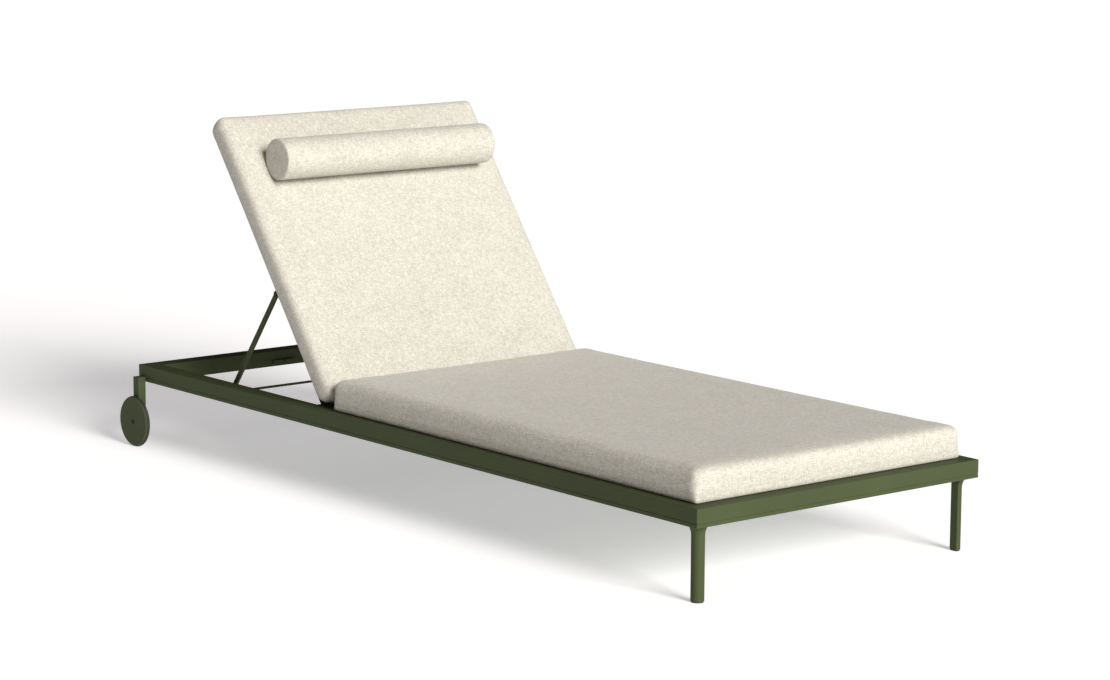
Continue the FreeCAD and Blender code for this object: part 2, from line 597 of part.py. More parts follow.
def make_hinge():
    """Brackets and pins on the frame, and lugs with bushes on the back."""
    pins = []
    bushes = []
    bush_radius = "(Sheet.pin_radius + Sheet.hinge_bush_wall)"
    for side in (RIGHT, LEFT):
        name = SIDE_NAMES[side]
        block = box(f"bracket_block_{name}", "Sheet.bracket_long", "Sheet.bracket_thick",
                    "Sheet.bracket_tall")
        bracket_y = low_y(side, f"{INNER_Y} - Sheet.bracket_thick", "Sheet.bracket_thick")
        place(block, f"{HINGE_X} + Sheet.bracket_reach - Sheet.bracket_long", bracket_y,
              f"{RAIL_BASE} + Sheet.bracket_rise")
        pin_start = "(Sheet.lug_face - Sheet.pin_inset)"
        pin_long = f"({INNER_Y} - {pin_start} - Sheet.pin_cover)"
        pin = rod(f"hinge_pin_{name}", "Sheet.pin_radius", pin_long)
        place(pin, HINGE_X, low_y(side, pin_start, pin_long), HINGE_Z)
        clip = rod(f"hinge_clip_{name}", "Sheet.pin_radius + Sheet.clip_reach",
                   "Sheet.clip_thick")
        place(clip, HINGE_X, low_y(side, pin_start, "Sheet.clip_thick"), HINGE_Z)
        pins.append(fuse(f"hinge_pin_whole_{name}", [pin, clip]))
        seat = rod(f"bracket_seat_{name}", "Sheet.pin_radius", pin_long)
        place(seat, HINGE_X, low_y(side, pin_start, pin_long), HINGE_Z)
        keep(cut(f"bracket_{name}", block, [seat]), f"hinge_bracket_{name}")

        plate = box(f"lug_plate_{name}", "Sheet.lug_long - Sheet.lug_radius / 2",
                    "Sheet.lug_thick", "2 * Sheet.lug_radius")
        lug_y = low_y(side, "Sheet.lug_face", "Sheet.lug_thick")
        place_on_back(plate, "-Sheet.lug_long", lug_y, "-Sheet.lug_drop")
        eye = rod(f"lug_eye_{name}", "Sheet.lug_radius", "Sheet.lug_thick")
        place_on_back(eye, 0, lug_y, 0, turn=False)
        hole = rod(f"lug_hole_{name}", bush_radius, "Sheet.lug_thick")
        place_on_back(hole, 0, lug_y, 0, turn=False)
        lug = cut(f"lug_{name}", fuse(f"lug_solid_{name}", [plate, eye]), [hole])
        keep(lug, f"hinge_lug_{name}")

        sleeve = rod(f"hinge_sleeve_{name}", bush_radius, "Sheet.lug_thick")
        place_on_back(sleeve, 0, lug_y, 0, turn=False)
        channel = rod(f"hinge_channel_{name}", "Sheet.pin_radius + Sheet.running_gap",
                      "Sheet.lug_thick")
        place_on_back(channel, 0, lug_y, 0, turn=False)
        bushes.append(cut(f"hinge_bush_{name}", sleeve, [channel]))
    group("hinge_pins", pins)
    group("hinge_bushes", bushes)


# ---- back frame ----------------------------------------------------------------------------

def make_back_frame():
    """Two stiles and two cross tubes with thin slats, which lie between the side rails."""
    stile_long = "(Sheet.stile_end - Sheet.stile_start)"
    for side in (RIGHT, LEFT):
        label = f"back_stile_{SIDE_NAMES[side]}"
        tube = box(f"{label}_tube", stile_long, "Sheet.tube_size", "Sheet.tube_size")
        bore = box(f"{label}_bore", stile_long, "Sheet.tube_size - 2 * Sheet.tube_wall",
                   "Sheet.tube_size - 2 * Sheet.tube_wall")
        face = "(Sheet.stile_face - Sheet.tube_size)"
        place_on_back(tube, "-Sheet.stile_end", low_y(side, face, "Sheet.tube_size"),
                      "Sheet.stile_low")
        bore_y = low_y(side, f"{face} + Sheet.tube_wall",
                       "(Sheet.tube_size - 2 * Sheet.tube_wall)")
        place_on_back(bore, "-Sheet.stile_end", bore_y, "Sheet.stile_low + Sheet.tube_wall")
        keep(cut(f"{label}_hollow", tube, [bore]), label)
    span = "(2 * (Sheet.stile_face - Sheet.tube_size))"
    for label, reach in (("back_head_tube", "Sheet.stile_end"),
                         ("back_foot_tube", "Sheet.stile_start + Sheet.tube_size")):
        tube = box(f"{label}_tube", "Sheet.tube_size", span, "Sheet.tube_size")
        bore = box(f"{label}_bore", "Sheet.tube_size - 2 * Sheet.tube_wall", span,
                   "Sheet.tube_size - 2 * Sheet.tube_wall")
        place_on_back(tube, f"-({reach})", f"-{span} / 2", "Sheet.stile_low")
        place_on_back(bore, f"-({reach}) + Sheet.tube_wall", f"-{span} / 2",
                      "Sheet.stile_low + Sheet.tube_wall")
        keep(cut(f"{label}_hollow", tube, [bore]), label)
    pitch = f"({stile_long} / {BACK_SLATS})"
    for number in range(BACK_SLATS):
        label = f"back_slat_{number + 1}"
        slat = box(label, "Sheet.back_slat_width", "2 * Sheet.stile_face",
                   "Sheet.back_slat_thick")
        near = (f"-Sheet.stile_start - {pitch} * {number + 0.5}"
                f" - Sheet.back_slat_width / 2")
        place_on_back(slat, near, "-Sheet.stile_face", "Sheet.stile_low + Sheet.tube_size")
        keep(slat, label)


# ---- prop and racks ------------------------------------------------------------------------

ROD_SETBACK = "(2 * Sheet.prop_reach * cos(Sheet.recline_angle))"


def make_prop():
    """Two arms as long as their own distance from the hinge, joined by a thin rod.

    The arms and the back make an isosceles triangle, so the rod keeps the hinge's height.
    """
    pins = []
    angle = "Sheet.recline_angle"
    foot_x = f"({HINGE_X} - {ROD_SETBACK})"
    for side in (RIGHT, LEFT):
        name = SIDE_NAMES[side]
        arm_y = low_y(side, ARM_FACE, "Sheet.arm_thick")
        bar = box(f"arm_bar_{name}", "Sheet.prop_reach", "Sheet.arm_thick", "Sheet.arm_width")
        bar.Placement.Rotation = Rotation(Vector(0, 1, 0), -value("recline_angle"))
        bar.setExpression("Placement.Rotation.Angle", f"-{angle}")
        bind(bar, **{
            "Placement.Base.x": f"{foot_x} + Sheet.arm_width / 2 * sin({angle})",
            "Placement.Base.y": arm_y,
            "Placement.Base.z": f"{HINGE_Z} - Sheet.arm_width / 2 * cos({angle})",
        })
        top_eye = rod(f"arm_top_eye_{name}", "Sheet.arm_width / 2 + Sheet.eye_margin",
                      "Sheet.arm_thick")
        place_on_back(top_eye, "-Sheet.prop_reach", arm_y, 0, turn=False)
        low_eye = rod(f"arm_low_eye_{name}", "Sheet.arm_width / 2", "Sheet.arm_thick")
        place(low_eye, foot_x, arm_y, HINGE_Z)
        top_hole = rod(f"arm_top_hole_{name}", "Sheet.prop_pin_radius + Sheet.running_gap",
                       "Sheet.arm_thick")
        place_on_back(top_hole, "-Sheet.prop_reach", arm_y, 0, turn=False)
        low_hole = rod(f"arm_low_hole_{name}", "Sheet.rod_radius", "Sheet.arm_thick")
        place(low_hole, foot_x, arm_y, HINGE_Z)
        solid = fuse(f"arm_solid_{name}", [bar, top_eye, low_eye])
        keep(cut(f"arm_{name}", solid, [top_hole, low_hole]), f"prop_arm_{name}")

        lug_y = low_y(side, "Sheet.lug_face", "Sheet.lug_thick")
        plate = box(f"prop_lug_plate_{name}", "2 * Sheet.lug_radius", "Sheet.lug_thick",
                    "2 * Sheet.lug_radius")
        place_on_back(plate, "-Sheet.prop_reach - Sheet.lug_radius", lug_y, "-Sheet.lug_drop")
        eye = rod(f"prop_lug_eye_{name}", "Sheet.prop_eye_radius", "Sheet.lug_thick")
        place_on_back(eye, "-Sheet.prop_reach", lug_y, 0, turn=False)
        hole = rod(f"prop_lug_hole_{name}", "Sheet.prop_pin_radius", "Sheet.lug_thick")
        place_on_back(hole, "-Sheet.prop_reach", lug_y, 0, turn=False)
        lug = cut(f"prop_lug_cut_{name}", fuse(f"prop_lug_solid_{name}", [plate, eye]), [hole])
        keep(lug, f"prop_lug_{name}")

        pin_long = ("(Sheet.lug_thick + 2 * Sheet.arm_gap + Sheet.arm_thick"
                    " + Sheet.pin_head_thick / 2)")
        pin = rod(f"prop_pin_shank_{name}", "Sheet.prop_pin_radius", pin_long)
        place_on_back(pin, "-Sheet.prop_reach", low_y(side, "Sheet.lug_face", pin_long), 0,
                      turn=False)
        head_face = f"({ARM_FACE} + Sheet.arm_thick + Sheet.arm_gap)"
        head = rod(f"prop_pin_head_{name}", "Sheet.prop_pin_radius + Sheet.pin_head_reach",
                   "Sheet.pin_head_thick")
        head_y = low_y(side, head_face, "Sheet.pin_head_thick")
        place_on_back(head, "-Sheet.prop_reach", head_y, 0, turn=False)
        pins.append(fuse(f"prop_pin_{name}", [pin, head]))
    group("prop_pins", pins)
    half = f"({INNER_Y} - Sheet.rod_end_gap)"
    cross = rod("prop_rod", "Sheet.rod_radius", f"2 * {half}")
    place(cross, foot_x, f"-{half}", HINGE_Z)
    keep(cross, "prop_rod")


def make_racks():
    """A notched bar inside each side rail, for the prop's rod, and the frame's small fittings."""
    screws = []
    tooth_top = f"({HINGE_Z} - Sheet.rod_radius - Sheet.tooth_gap)"
    for side in (RIGHT, LEFT):
        name = SIDE_NAMES[side]
        bar = box(f"rack_bar_{name}", "Sheet.rack_long", "Sheet.rack_thick",
                  f"{tooth_top} - Sheet.rack_base")
        rack_y = low_y(side, f"{INNER_Y} - Sheet.rack_thick", "Sheet.rack_thick")
        place(bar, f"{HEAD_X} + Sheet.rack_start", rack_y, "Sheet.rack_base")
        notches = []
        for number in range(NOTCHES):
            notch = rod(f"notch_{name}_{number}", "Sheet.notch_radius", "Sheet.rack_thick")
            step = number - NOTCHES + 2
            place(notch, f"{HINGE_X} - {ROD_SETBACK} + {step} * Sheet.notch_pitch", rack_y,
                  tooth_top)
            notches.append(notch)
        keep(cut(f"rack_{name}", bar, notches), f"prop_rack_{name}")
        rack_x = f"{HEAD_X} + Sheet.rack_start"
        low = f"{RAIL_BASE} + Sheet.rack_screw_rise"
        high = f"{RAIL_BASE} + Sheet.bracket_screw_rise"
        spots = [(f"{rack_x} + Sheet.rack_screw_near", low, "Sheet.rack_thick"),
                 (f"{rack_x} + Sheet.rack_screw_far", low, "Sheet.rack_thick"),
                 (f"{HINGE_X} - Sheet.bracket_screw_back", high, "Sheet.bracket_thick")]
        for number, (x, z, depth) in enumerate(spots):
            long = f"({depth} + Sheet.rail_wall)"
            face = f"{INNER_Y} - {depth}"
            screw = rod(f"frame_screw_{name}_{number}", "Sheet.screw_radius", long)
            head = rod(f"frame_screw_head_{name}_{number}", "Sheet.screw_head_radius",
                       "Sheet.screw_head_thick")
            place(screw, x, low_y(side, face, long), z)
            head_face = f"{face} - Sheet.screw_head_thick"
            place(head, x, low_y(side, head_face, "Sheet.screw_head_thick"), z)
            screws.append(fuse(f"frame_screw_whole_{name}_{number}", [screw, head]))
    group("frame_screws", screws)
    pads = []
    for side in (RIGHT, LEFT):
        stop = box(f"stop_pad_{SIDE_NAMES[side]}", "Sheet.pad_thick", "Sheet.pad_wide",
                   "Sheet.pad_tall")
        place(stop, f"{HEAD_X} + Sheet.rail_width",
              low_y(side, "Sheet.pad_start", "Sheet.pad_wide"),
              f"{HINGE_Z} + Sheet.stile_low - Sheet.side_gap - Sheet.pad_tall")
        pads.append(stop)
    group("stop_pads", pads)


# ---- cushions ------------------------------------------------------------------------------

def rounded_block(label, left, low, long, tall, heel=None):
    """A block across the lounger, from a side profile, with every edge rounded."""
    body = new_body(label)
    profile = new_sketch(body, f"{label}_profile", "XZ_Plane")
    rectangle(profile, left, low, long, tall)
    solid = pad(body, profile, f"{label}_pad", "Sheet.cushion_width", symmetric=True)
    doc.recompute()
    limits = solid.Shape.BoundBox

    def at_heel(middle, direction):
        return (abs(direction.y) > 0.9 and abs(middle.x - limits.XMax) < 0.1
                and abs(middle.z - limits.ZMin) < 0.1)

    if heel is not None:
        solid = dress(body, solid, f"{label}_heel", heel, at_heel)
    dress(body, solid, f"{label}_round", "Sheet.cushion_round",
          lambda middle, direction: heel is None or abs(direction.y) < 0.9
          or abs(middle.z - limits.ZMax) < 0.1 or abs(middle.x - limits.XMin) < 0.1)
    return body


def make_cushions():
    seat = rounded_block("seat_cushion", 0, 0, "Sheet.seat_long", "Sheet.cushion_thick")
    place(seat, f"{HEAD_X} + Sheet.seat_start", 0, f"{DECK_TOP} + Sheet.cushion_gap")
    keep(seat, "seat_cushion")
    back = rounded_block("back_cushion", "-Sheet.back_start - Sheet.back_long",
                         f"{BACK_TOP} + Sheet.cushion_gap", "Sheet.back_long",
                         "Sheet.cushion_thick", heel="Sheet.back_heel_round")
    place_on_back(back)
    keep(back, "back_cushion")
    roll = rod("bolster_roll", "Sheet.bolster_radius", "Sheet.bolster_long")
    face = f"({BACK_TOP} + 2 * Sheet.cushion_gap + Sheet.cushion_thick)"
    place_on_back(roll, "-Sheet.bolster_reach", "-Sheet.bolster_long / 2",
                  f"{face} + Sheet.bolster_radius", turn=False)
    keep(soften("bolster", roll, value("bolster_round"),
                lambda middle, direction: abs(direction.y) < 0.1), "head_bolster")


def check_and_export():
    """Stop on anything that failed or is not a whole solid, then write one file for each node."""
    doc.recompute()
    for thing in doc.Objects:
        if "Invalid" in thing.State or "Error" in thing.State:
            raise RuntimeError(f"{thing.Label} failed: {thing.State}")
    os.makedirs("parts", exist_ok=True)
    for thing in parts:
        shape = thing.Shape
        if shape.isNull() or not shape.isValid() or not shape.Solids:
            raise RuntimeError(f"{thing.Label} is not a valid solid")
        shape.exportStep(f"parts/{thing.Label}.step")
        print(f"{thing.Label}: {len(shape.Solids)} solids, {shape.Volume / 1000:.1f} cm3")
    print(f"{len(parts)} nodes")


make_rails()
make_corner_keys()
for side in (RIGHT, LEFT):
    make_front_leg(side)
    make_wheel_post(side)
    make_wheel(side)
make_leg_fittings()
make_axles()
make_seat_deck()
make_hinge()
make_back_frame()
make_prop()
make_racks()
make_cushions()
check_and_export()
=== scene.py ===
"""Looks of the reclining sun lounger: woven cushions, painted frame, floor, light, camera."""
import json
import math

import bmesh
import bpy
import numpy as np
from mathutils import Matrix, Quaternion, Vector
from mathutils.bvhtree import BVHTree


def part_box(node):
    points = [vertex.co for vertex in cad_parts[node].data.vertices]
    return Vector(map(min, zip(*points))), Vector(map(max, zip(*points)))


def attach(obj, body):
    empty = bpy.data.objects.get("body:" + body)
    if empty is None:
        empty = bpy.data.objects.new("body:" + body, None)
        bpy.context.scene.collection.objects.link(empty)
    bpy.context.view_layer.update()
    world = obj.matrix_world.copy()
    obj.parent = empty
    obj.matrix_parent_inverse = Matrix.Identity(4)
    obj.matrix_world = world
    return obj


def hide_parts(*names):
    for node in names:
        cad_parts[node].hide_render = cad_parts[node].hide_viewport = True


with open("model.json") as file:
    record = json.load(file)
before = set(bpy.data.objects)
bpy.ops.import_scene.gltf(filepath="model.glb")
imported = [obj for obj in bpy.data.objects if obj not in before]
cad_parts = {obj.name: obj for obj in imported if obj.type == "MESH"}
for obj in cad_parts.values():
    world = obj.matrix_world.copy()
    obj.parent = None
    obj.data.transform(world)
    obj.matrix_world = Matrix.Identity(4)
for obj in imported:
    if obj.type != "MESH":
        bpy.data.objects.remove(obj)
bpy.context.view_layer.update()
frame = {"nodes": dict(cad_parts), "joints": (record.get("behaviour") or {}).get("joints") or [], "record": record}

MM = 0.001
JOINTS = {joint["name"]: joint for joint in frame["joints"]}
HINGE = Vector(JOINTS["backrest_recline"]["pos_m"])
RECLINE = -math.radians(JOINTS["backrest_recline"]["range_deg"][0])
BACK_TURN = (Matrix.Translation(HINGE) @ Matrix.Rotation(RECLINE, 4, "Y")
             @ Matrix.Translation(-HINGE))

# Cushion covers: mesh, rounding (a base's is across and up), sag, seam and stitches
CELL = 7.5 * MM
EDGE_ROUND = 19 * MM
SEAT_BASE = (6 * MM, 4 * MM)
BACK_BASE = (30 * MM, 30 * MM)
SEAT_SAG = 5 * MM
BACK_SAG = 2 * MM
SWELL = 5 * MM
BOLSTER_SWELL = 3 * MM
BOLSTER_SIDES = 96
BOLSTER_ENDS = (0.12, 0.3, 0.5, 0.7, 0.86, 0.95)
BOLSTER_SHOULDER = 0.985
PRESSURE = 4.0
SIM_FRAMES = 20
SIM_CLOTH = {"quality": 4, "mass": 0.25, "tension_stiffness": 12, "compression_stiffness": 12,
             "shear_stiffness": 4, "bending_stiffness": 0.4}
CORNER_STEPS = 6
SEAM_RISE = 18 * MM
SEAM_DEPTH = 0.9 * MM
SEAM_REACH = 3 * MM
STITCH_PITCH = 4.6 * MM
STITCH_LONG = 3.2 * MM
STITCH_RADIUS = 0.42 * MM
STITCH_SIDES = 6
STITCH_PROFILE = [(-0.5, 0.25), (-0.3, 0.9), (0.0, 1.0), (0.3, 0.9), (0.5, 0.25)]
STITCH_ARCH = 1.6
STITCH_INSET = 4 * MM

# Cloth: the yarn's width, how far it wanders, how its noise runs along it, and its colours
THREAD = 2.5 * MM
WANDER = 6 * MM
WARP_STEP, WARP_RUN = 7.31, 0.15
WEFT_STEP, WEFT_RUN, WEFT_START = 5.77, 0.13, 31.0
SLUB_FINE, SLUB_LONG, SLUB_START = 1.2, 0.28, 7.0
CREAM = (0.645, 0.640, 0.563, 1)
OAT = (0.455, 0.425, 0.362, 1)
FLECK = (0.29, 0.255, 0.205, 1)

# Powder coat
OLIVE = (0.049, 0.063, 0.0255, 1)
OLIVE_PALE = (0.056, 0.072, 0.030, 1)
# Paler olive mixed in along edges: part painted edge highlight, part worn paint
OLIVE_EDGE_LIT_AND_WORN = (0.10, 0.12, 0.062, 1)
BEVEL = 1.6 * MM

# Sky: an even part, a part that is brightest overhead, and one brightest above the foot end
SKY_BASE = 0.03
SKY_ZENITH = 0.04
SKY_FOOT = 0.22
SKY_TILT = math.radians(40)
SKY_COLOUR = (1.0, 0.85, 0.86, 1)

# Floor and key light
FLOOR_RADIUS = 60
FLOOR_SIDES = 96
FLOOR_GREY = (0.8, 0.8, 0.8, 1)
GLOW_COLOUR = (0.985, 0.99, 1, 1)
GLOW = 0.43
SUN_ENERGY = 4.75
SUN_SPREAD = math.radians(26)
SUN_COLOUR = (1.0, 0.985, 0.955)
SUN_RISE = math.radians(24)
SUN_SWING = math.radians(3)

# Camera: place in metres, yaw, downward pitch and roll in degrees, lens in mm
CAMERA_PLACE = (5.7384, -4.5580, 1.5972)
CAMERA_TURN = (140.953, 9.610, 0.276)
LENS = 104.9
SENSOR = 36
FAR = 200

# ---- node helpers --------------------------------------------------------------------------


class Shader:
    """A node material under construction, with short names for the nodes used here."""

    def __init__(self, name, **values):
        self.material = bpy.data.materials.new(name)
        self.material.use_nodes = True
        self.tree = self.material.node_tree
        self.bsdf = self.tree.nodes["Principled BSDF"]
        for socket, value in values.items():
            self.bsdf.inputs[socket.replace("_", " ")].default_value = value

    def node(self, kind, **properties):
        node = self.tree.nodes.new(kind)
        for name, value in properties.items():
            setattr(node, name, value)
        return node

    def link(self, source, target):
        self.tree.links.new(source, target)

    def feed(self, socket, value):
        """Put a number, a colour or another node's output into an input."""
        if isinstance(value, bpy.types.NodeSocket):
            self.link(value, socket)
        else:
            socket.default_value = value

    def math(self, operation, first, second=0.0, clamp=False):
        node = self.node("ShaderNodeMath", operation=operation, use_clamp=clamp)
        self.feed(node.inputs[0], first)
        self.feed(node.inputs[1], second)
        return node.outputs[0]

    def mix(self, share, first, second):
        node = self.node("ShaderNodeMix", data_type="RGBA")
        self.feed(node.inputs["Factor"], share)
        self.feed(node.inputs[6], first)
        self.feed(node.inputs[7], second)
        return node.outputs[2]

    def lerp(self, share, first, second):
        node = self.node("ShaderNodeMix", data_type="FLOAT")
        self.feed(node.inputs["Factor"], share)
        self.feed(node.inputs[2], first)
        self.feed(node.inputs[3], second)
        return node.outputs[0]

    def combine(self, x, y, z=0.0):
        node = self.node("ShaderNodeCombineXYZ")
        for socket, value in zip(node.inputs, (x, y, z)):
            self.feed(socket, value)
        return node.outputs[0]

    def split(self, vector):
        node = self.node("ShaderNodeSeparateXYZ")
        self.link(vector, node.inputs[0])
        return node.outputs

    def scaled(self, vector, scale):
        node = self.node("ShaderNodeMapping")
        self.link(vector, node.inputs["Vector"])
        node.inputs["Scale"].default_value = scale
        return node.outputs[0]

    def noise(self, vector, scale, detail=2.0, rough=0.5):
        node = self.node("ShaderNodeTexNoise")
        self.link(vector, node.inputs["Vector"])
        node.inputs["Scale"].default_value = scale
        node.inputs["Detail"].default_value = detail
        node.inputs["Roughness"].default_value = rough
        return node.outputs["Fac"]

    def stretch(self, value, low, high, to_low=0.0, to_high=1.0):
        node = self.node("ShaderNodeMapRange", clamp=True)
        for socket, number in zip(node.inputs[:5], (value, low, high, to_low, to_high)):
            self.feed(socket, number)
        return node.outputs[0]

    def bump(self, height, distance, strength=1.0):
        node = self.node("ShaderNodeBump")
        node.inputs["Strength"].default_value = strength
        node.inputs["Distance"].default_value = distance
        self.link(height, node.inputs["Height"])
        self.link(node.outputs[0], self.bsdf.inputs["Normal"])

    def position(self):
        return self.node("ShaderNodeTexCoord").outputs["Object"]


# ---- materials -----------------------------------------------------------------------------

def cloth(name, light, shade, fleck, turn=0.0):
    """A plain weave of slubbed yarns, laid square to each face of a cushion, with painted shade in the hollows
    between the threads.

    turn is the angle about Y by which the cushion is reclined, so the threads lie along it.
    """
    made = Shader(name, Roughness=0.88, Sheen_Weight=0.25, Sheen_Roughness=0.45)
    made.bsdf.inputs["Specular IOR Level"].default_value = 0.2
    coords = made.node("ShaderNodeTexCoord")

    def unturned(socket):
        node = made.node("ShaderNodeVectorRotate", rotation_type="Y_AXIS")
        made.link(socket, node.inputs["Vector"])
        node.inputs["Angle"].default_value = -turn
        return made.split(node.outputs[0])

    x, y, z = unturned(coords.outputs["Object"])
    facing = [made.math("ABSOLUTE", part) for part in unturned(coords.outputs["Normal"])]
    on_end = made.math("GREATER_THAN", facing[0], made.math("MAXIMUM", facing[1], facing[2]))
    on_top = made.math("GREATER_THAN", facing[2], made.math("MAXIMUM", facing[0], facing[1]))
    along = made.lerp(on_end, x, y)
    across = made.lerp(on_top, z, y)

    wander = made.noise(coords.outputs["Object"], 9.0, 2.0)
    drift = made.math("MULTIPLY", made.math("SUBTRACT", wander, 0.5), WANDER)
    along = made.math("DIVIDE", made.math("ADD", along, drift), THREAD)
    across = made.math("DIVIDE", made.math("ADD", across, drift), THREAD)

    warp_id = made.math("FLOOR", along)
    weft_id = made.math("FLOOR", across)
    over = made.math("FLOORED_MODULO", made.math("ADD", warp_id, weft_id), 2.0)
    warp_wave = made.math("ABSOLUTE", made.math("SINE", made.math("MULTIPLY", along, math.pi)))
    weft_wave = made.math("ABSOLUTE", made.math("SINE", made.math("MULTIPLY", across, math.pi)))
    pillow = made.math("POWER", made.math("MULTIPLY", warp_wave, weft_wave), 0.55)

    warp_place = made.combine(made.math("MULTIPLY", warp_id, WARP_STEP),
                              made.math("MULTIPLY", across, WARP_RUN))
    weft_place = made.combine(made.math("MULTIPLY", weft_id, WEFT_STEP),
                              made.math("MULTIPLY", along, WEFT_RUN), WEFT_START)
    warp_yarn = made.noise(warp_place, 1.0, 3.0, 0.65)
    weft_yarn = made.noise(weft_place, 1.0, 3.0, 0.65)
    yarn = made.lerp(over, warp_yarn, weft_yarn)
    speck = made.noise(made.combine(along, across), 0.9, 1.0)
    tone = made.stretch(yarn, 0.38, 0.64)
    colour = made.mix(tone, light, shade)
    colour = made.mix(made.stretch(speck, 0.58, 0.76, 0.0, 0.65), colour, fleck)
    # Painted shade: the colour is darkened to 0.8 in the hollows between threads, where the weave is low
    valley_shade = made.stretch(pillow, 0.0, 0.7, 0.80, 1.0)
    broad = made.stretch(made.noise(coords.outputs["Object"], 14.0, 3.0), 0.3, 0.7, 0.965, 1.02)
    slubs = [made.noise(made.combine(made.math("MULTIPLY", along, near),
                                     made.math("MULTIPLY", across, far), SLUB_START),
                        1.0, 2.0, 0.6)
             for near, far in ((SLUB_FINE, SLUB_LONG), (SLUB_LONG, SLUB_FINE))]
    slub = made.stretch(made.math("MULTIPLY", *slubs), 0.12, 0.40, 0.90, 1.10)
    # depth carries the painted shade between threads together with the random broad and slub tone
    depth = made.math("MULTIPLY", made.math("MULTIPLY", valley_shade, broad), slub)
    shaded = made.node("ShaderNodeVectorMath", operation="SCALE")
    made.link(colour, shaded.inputs[0])
    made.link(depth, shaded.inputs["Scale"])
    made.link(shaded.outputs[0], made.bsdf.inputs["Base Color"])
    made.link(made.stretch(yarn, 0.2, 0.8, 0.82, 0.94), made.bsdf.inputs["Roughness"])
    height = made.math("ADD", made.math("MULTIPLY", pillow, 0.75),
                       made.math("MULTIPLY", yarn, 0.8))
    made.bump(height, 0.55 * MM, 0.8)
    return made.material


def paint():
    """Fine-textured powder coat, a little paler along its edges: a painted edge highlight, broken up by noise like
    worn paint.
    """
    made = Shader("olive_powder_coat", Roughness=0.6)
    made.bsdf.inputs["Specular IOR Level"].default_value = 0.14
    place = made.position()
    grain = made.noise(place, 1400.0, 3.0, 0.6)
    cloud = made.noise(place, 5.0, 3.0)
    colour = made.mix(made.stretch(cloud, 0.3, 0.7), OLIVE, OLIVE_PALE)
    speck = made.stretch(made.noise(place, 2600.0, 1.0), 0.35, 0.7, 0.90, 1.08)
    # Painted edge highlight and wear: where the bevelled normal turns away from the true normal, the colour goes
    # towards a paler olive, in noisy patches
    bevel = made.node("ShaderNodeBevel", samples=6)
    bevel.inputs["Radius"].default_value = BEVEL
    flat = made.node("ShaderNodeNewGeometry")
    turned = made.node("ShaderNodeVectorMath", operation="DOT_PRODUCT")
    made.link(bevel.outputs[0], turned.inputs[0])
    made.link(flat.outputs["Normal"], turned.inputs[1])
    edge_lit_and_worn = made.math("MULTIPLY", made.stretch(turned.outputs["Value"], 0.97, 0.80),
                       made.stretch(made.noise(place, 60.0, 4.0), 0.45, 0.75, 0.10, 0.45))
    colour = made.mix(edge_lit_and_worn, colour, OLIVE_EDGE_LIT_AND_WORN)
    tinted = made.node("ShaderNodeVectorMath", operation="SCALE")
    made.link(colour, tinted.inputs[0])
    made.link(speck, tinted.inputs["Scale"])
    made.link(tinted.outputs[0], made.bsdf.inputs["Base Color"])
    made.link(made.stretch(grain, 0.3, 0.7, 0.52, 0.66), made.bsdf.inputs["Roughness"])
    made.bump(grain, 0.10 * MM, 0.7)
    return made.material


def moulded(name, colour, rough, grain_scale=900.0, worn=1.25):
    """Rubber or plastic with a fine moulded grain and faint scuffs."""
    made = Shader(name, Roughness=rough)
    place = made.position()
    grain = made.noise(place, grain_scale, 3.0)
    scuff = made.stretch(made.noise(place, 45.0, 5.0, 0.7), 0.5, 0.75)
    scuffed = tuple(min(1.0, part * worn + 0.012) for part in colour[:3]) + (1,)
    made.link(made.mix(scuff, colour, scuffed), made.bsdf.inputs["Base Color"])
    made.link(made.stretch(grain, 0.3, 0.7, rough - 0.08, min(1.0, rough + 0.08)),
              made.bsdf.inputs["Roughness"])
    made.bump(grain, 0.08 * MM, 0.6)
    return made.material


def metal(name, colour, rough, along):
    """Bare or blackened metal with fine draw marks along one direction."""
    made = Shader(name, Metallic=1.0, Roughness=rough)
    place = made.scaled(made.position(), along)
    marks = made.noise(place, 1.0, 4.0, 0.6)
    blotch = made.noise(made.position(), 110.0, 3.0)
    darker = tuple(part * 0.72 for part in colour[:3]) + (1,)
    made.link(made.mix(made.stretch(blotch, 0.35, 0.75), colour, darker),
              made.bsdf.inputs["Base Color"])
    made.link(made.stretch(marks, 0.25, 0.75, rough - 0.1, rough + 0.12),
              made.bsdf.inputs["Roughness"])
    made.bump(marks, 0.04 * MM, 0.5)
    return made.material


MATERIALS = {
    "frame_paint": paint(),
    "cushion_cloth": cloth("seat_cloth", CREAM, OAT, FLECK),
    "bolster_cloth": cloth("bolster_cloth_plain", CREAM, OAT, FLECK, RECLINE),
    "tyre_rubber": moulded("tyre_rubber_black", (0.018, 0.019, 0.017, 1), 0.82, 1100.0, 1.8),
    "black_plastic": moulded("moulded_black", (0.022, 0.023, 0.022, 1), 0.6),
    "bare_steel": metal("zinc_steel", (0.55, 0.55, 0.53, 1), 0.36, (300, 300, 2200)),
    "dark_steel": metal("blackened_steel", (0.022, 0.024, 0.019, 1), 0.42, (900, 60, 900)),
    "cast_alloy": metal("cast_alloy_keys", (0.56, 0.56, 0.57, 1), 0.5, (500, 500, 500)),
}
BACK_CLOTH = cloth("back_cloth", CREAM, OAT, FLECK, RECLINE)
STITCH_THREAD = moulded("stitch_thread", (0.52, 0.475, 0.375, 1), 0.8, 2500.0, 1.1)


def dress_frame():
    """Give every CAD node the finished material of its own slot."""
    for part in frame["record"]["subparts"]:
        node = frame["nodes"][part["node"]]
        node.data.materials.clear()
        node.data.materials.append(MATERIALS[part["material_slot"]])


# ---- cushions ------------------------------------------------------------------------------

def lines(low, high, step, extra=()):
    """Evenly spaced coordinates from low to high, with extra ones put in."""
    count = max(2, round((high - low) / step)) + 1
    values = set(np.round(np.linspace(low, high, count), 6))
    near = [value for value in values if any(abs(value - more) < step / 3 for more in extra)
            and value not in (round(low, 6), round(high, 6))]
    return np.array(sorted((values - set(near)) | {round(more, 6) for more in extra}))


